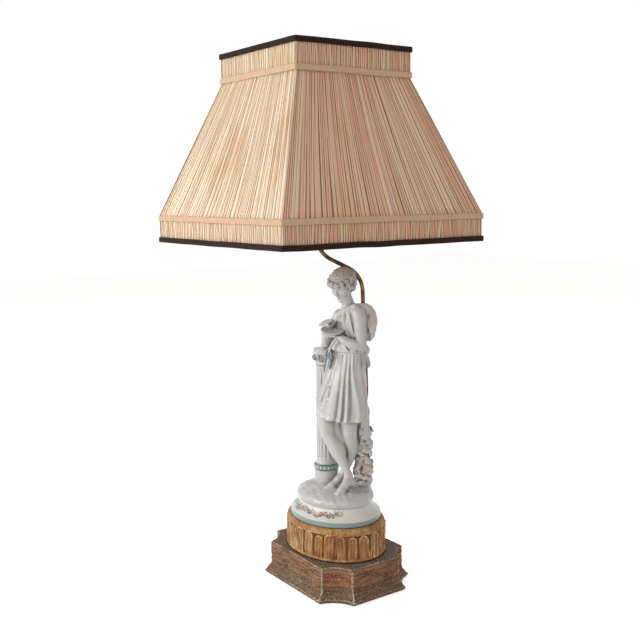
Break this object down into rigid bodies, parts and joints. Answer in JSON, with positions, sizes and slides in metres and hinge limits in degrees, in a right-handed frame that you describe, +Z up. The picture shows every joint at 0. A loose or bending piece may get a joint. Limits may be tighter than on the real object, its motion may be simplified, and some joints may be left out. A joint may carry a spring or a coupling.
{
  "type": "figural table lamp",
  "caption": "Table lamp with a porcelain figure by a column on an oval gilt drum and stepped plinth, a bent brass stem and a square pleated shade.",
  "frame": {"origin": "on the table, under the upright axis of the lampholder and shade", "axes": "+Z up, -Y towards the long front of the base, which the figure faces, +X to the figure's left"},
  "size_m": [0.3884, 0.3884, 0.888],
  "materials": {
    "green_felt": "matte",
    "worn_wood": "worn",
    "gilt_wood": "gilded",
    "porcelain": "satin",
    "painted_porcelain": "satin",
    "aged_brass": "aged",
    "brass": "satin",
    "steel": "satin",
    "holder_ceramic": "matte",
    "bulb_glass": "frosted",
    "black_glass": "gloss",
    "pleated_cloth": "pleated",
    "dark_ribbon": "grosgrain",
    "beige_braid": "woven",
    "frame_wire": "enamel"
  },
  "bodies": {
    "base": {"felt_pad": "green_felt", "plinth_foot": "worn_wood", "plinth_block": "worn_wood", "chamber_cover": "worn_wood", "carved_drum": "gilt_wood", "porcelain_figure": "porcelain", "porcelain_socle": "painted_porcelain", "bent_stem": "aged_brass", "stem_locknut": "aged_brass", "holder_cap": "aged_brass", "flex_bush": "brass", "stem_nut": "brass", "holder_shell": "brass", "lower_ring": "brass", "socket_shell": "brass", "centre_contact": "brass", "terminal_screws": "brass", "cover_screws": "steel", "stem_washer": "steel", "holder_insert": "holder_ceramic"},
    "shade": {"cover_band": "pleated_cloth", "cover_slope_front": "pleated_cloth", "cover_slope_right": "pleated_cloth", "cover_slope_back": "pleated_cloth", "cover_slope_left": "pleated_cloth", "cover_collar": "pleated_cloth", "rim_ribbon_bottom": "dark_ribbon", "rim_ribbon_top": "dark_ribbon", "braid_hip": "beige_braid", "braid_collar": "beige_braid", "hoop_bottom": "frame_wire", "hoop_hip": "frame_wire", "hoop_collar": "frame_wire", "hoop_top": "frame_wire", "frame_struts": "frame_wire", "fitter_ring": "frame_wire", "fitter_arms": "frame_wire"},
    "bulb": {"bulb_contact": "brass", "bulb_insulator": "black_glass", "bulb_cap": "steel", "bulb_glass": "bulb_glass"},
    "key": {"switch_key": "brass"},
    "clamp": {"clamp_ring": "brass"}
  },
  "joints": [
    {"name": "shade_turn", "type": "hinge", "parent": "base", "child": "shade", "pos_m": [0, 0, 0.64], "axis": [0, 0, 1], "continuous": true},
    {"name": "clamp_turn", "type": "hinge", "parent": "base", "child": "clamp", "pos_m": [0, 0, 0.6425], "axis": [0, 0, 1], "continuous": true},
    {"name": "bulb_turn", "type": "hinge", "parent": "base", "child": "bulb", "pos_m": [0, 0, 0.64], "axis": [0, 0, 1], "continuous": true},
    {"name": "key_turn", "type": "hinge", "parent": "base", "child": "key", "pos_m": [-0.02, 0, 0.623], "axis": [-1, 0, 0], "continuous": true}
  ]
}
